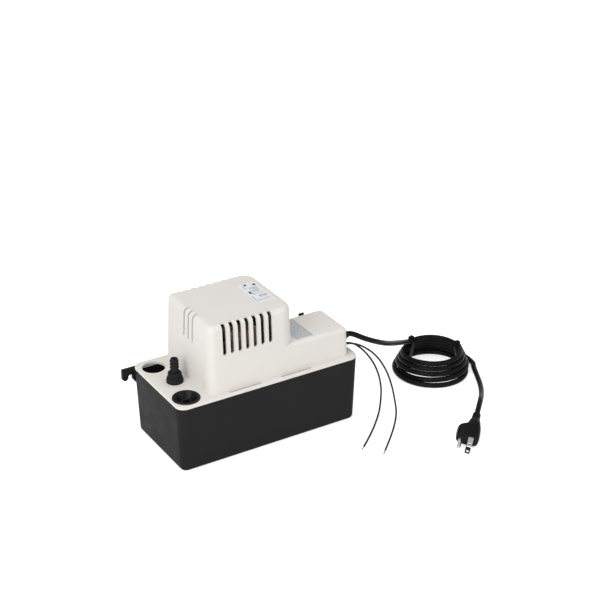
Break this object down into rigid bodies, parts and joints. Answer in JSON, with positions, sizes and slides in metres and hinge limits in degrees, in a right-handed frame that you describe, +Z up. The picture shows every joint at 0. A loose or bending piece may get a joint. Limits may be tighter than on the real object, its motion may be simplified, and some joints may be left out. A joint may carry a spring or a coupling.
{
  "type": "condensate pump",
  "caption": "Small condensate pump: a tank with hanger ears under a lift-off cover that carries the motor, float switches, barbed outlet, coiled mains cord and alarm leads.",
  "frame": {"origin": "middle of the tank's footprint, on the floor", "axes": "+X along the tank to the end where the cord leaves, -Y out of the long front face, +Z up"},
  "size_m": [0.4692, 0.2737, 0.1779],
  "materials": {
    "black_plastic": "moulded black, soft sheen",
    "white_plastic": "moulded warm off-white",
    "grey_plastic": "moulded dark grey",
    "natural_plastic": "natural nylon",
    "switch_plastic": "glossy black",
    "button_plastic": "glossy red",
    "connector_plastic": "moulded nylon",
    "wire_insulation": "satin insulation",
    "ground_green": "green screw",
    "label_white": "printed film",
    "label_grey": "printed film",
    "black_rubber": "matte",
    "cord_black": "satin vinyl",
    "lead_black": "satin vinyl",
    "lead_grey": "satin vinyl",
    "zinc_steel": "zinc plated",
    "bright_steel": "stainless",
    "lamination_steel": "varnished laminations",
    "copper": "bare copper",
    "tinned_copper": "stripped strands",
    "bronze": "sintered bronze",
    "winding_tape": "tan insulating tape",
    "float_foam": "closed-cell foam",
    "nickel": "nickel plated"
  },
  "bodies": {
    "tank": {"tank": "black_plastic", "cord_coil": "cord_black", "cord_tail": "cord_black", "cord_ties": "cord_black", "plug_body": "cord_black", "plug_blades": "nickel", "plug_ground_pin": "nickel"},
    "cover": {"top_cover": "white_plastic", "deck_plate": "zinc_steel", "deck_screws": "zinc_steel", "dome_label": "label_white", "step_label": "label_grey", "discharge_fitting": "black_plastic", "fitting_seal": "black_rubber", "discharge_tube": "grey_plastic", "stator_core": "lamination_steel", "shading_rings": "copper", "coil_bobbin": "natural_plastic", "coil_winding": "winding_tape", "lower_bracket": "zinc_steel", "upper_bracket": "zinc_steel", "lower_bearing": "bronze", "upper_bearing": "bronze", "motor_screws": "zinc_steel", "motor_standoffs": "zinc_steel", "pump_column": "grey_plastic", "volute": "grey_plastic", "intake_plate": "grey_plastic", "volute_screws": "bright_steel", "switch_bracket": "zinc_steel", "bracket_screws": "zinc_steel", "lever_pin": "bright_steel", "pump_switch": "switch_plastic", "safety_switch": "switch_plastic", "switch_screws": "zinc_steel", "wire_connectors": "connector_plastic", "motor_leads": "wire_insulation", "ground_screw": "ground_green", "strain_relief": "black_plastic", "lead_grommet": "black_rubber", "main_cord": "cord_black", "lead_one": "lead_black", "lead_two": "lead_grey", "lead_tips": "tinned_copper"},
    "rotor": {"shaft": "bright_steel", "rotor_core": "lamination_steel", "cooling_fan": "natural_plastic", "slinger": "black_rubber", "impeller": "grey_plastic"},
    "float": {"float": "float_foam", "float_rod": "bright_steel", "rod_clips": "bright_steel"},
    "lever": {"switch_lever": "zinc_steel"},
    "pump_button": {"pump_switch_button": "button_plastic"},
    "safety_button": {"safety_switch_button": "button_plastic"},
    "check_valve": {"check_ball": "black_rubber"},
    "front_inlet_plug": {"front_plug": "black_plastic"},
    "rear_inlet_plug": {"rear_plug": "black_plastic"}
  },
  "joints": [
    {"name": "cover_lift", "type": "slide", "parent": "tank", "child": "cover", "axis": [0, 0, 1], "range_m": [0, 0.1]},
    {"name": "rotor_spin", "type": "hinge", "parent": "cover", "child": "rotor", "pos_m": [-0.024, 0.004, 0.13], "axis": [0, 0, 1], "continuous": true},
    {"name": "float_rise", "type": "slide", "parent": "cover", "child": "float", "axis": [0, 0, 1], "range_m": [0, 0.014]},
    {"name": "lever_turn", "type": "hinge", "parent": "cover", "child": "lever", "pos_m": [0.04, -0.016, 0.1033], "axis": [0, -1, 0], "range_deg": [0, 18.5]},
    {"name": "pump_button_slide", "type": "slide", "parent": "cover", "child": "pump_button", "axis": [0, 0, 1], "range_m": [0, 0.0016]},
    {"name": "safety_button_slide", "type": "slide", "parent": "cover", "child": "safety_button", "axis": [0, 0, 1], "range_m": [0, 0.0016]},
    {"name": "check_ball_lift", "type": "slide", "parent": "cover", "child": "check_valve", "axis": [0, 0, 1], "range_m": [0, 0.006]},
    {"name": "front_plug_pull", "type": "slide", "parent": "cover", "child": "front_inlet_plug", "axis": [0, 0, 1], "range_m": [0, 0.03]},
    {"name": "rear_plug_pull", "type": "slide", "parent": "cover", "child": "rear_inlet_plug", "axis": [0, 0, 1], "range_m": [0, 0.03]}
  ],
  "couplings": [
    {"joint": "lever_turn", "follows": "float_rise", "rad_per_m": 22.727},
    {"joint": "pump_button_slide", "follows": "float_rise", "ratio": 0.11},
    {"joint": "safety_button_slide", "follows": "float_rise", "ratio": 0.11}
  ]
}
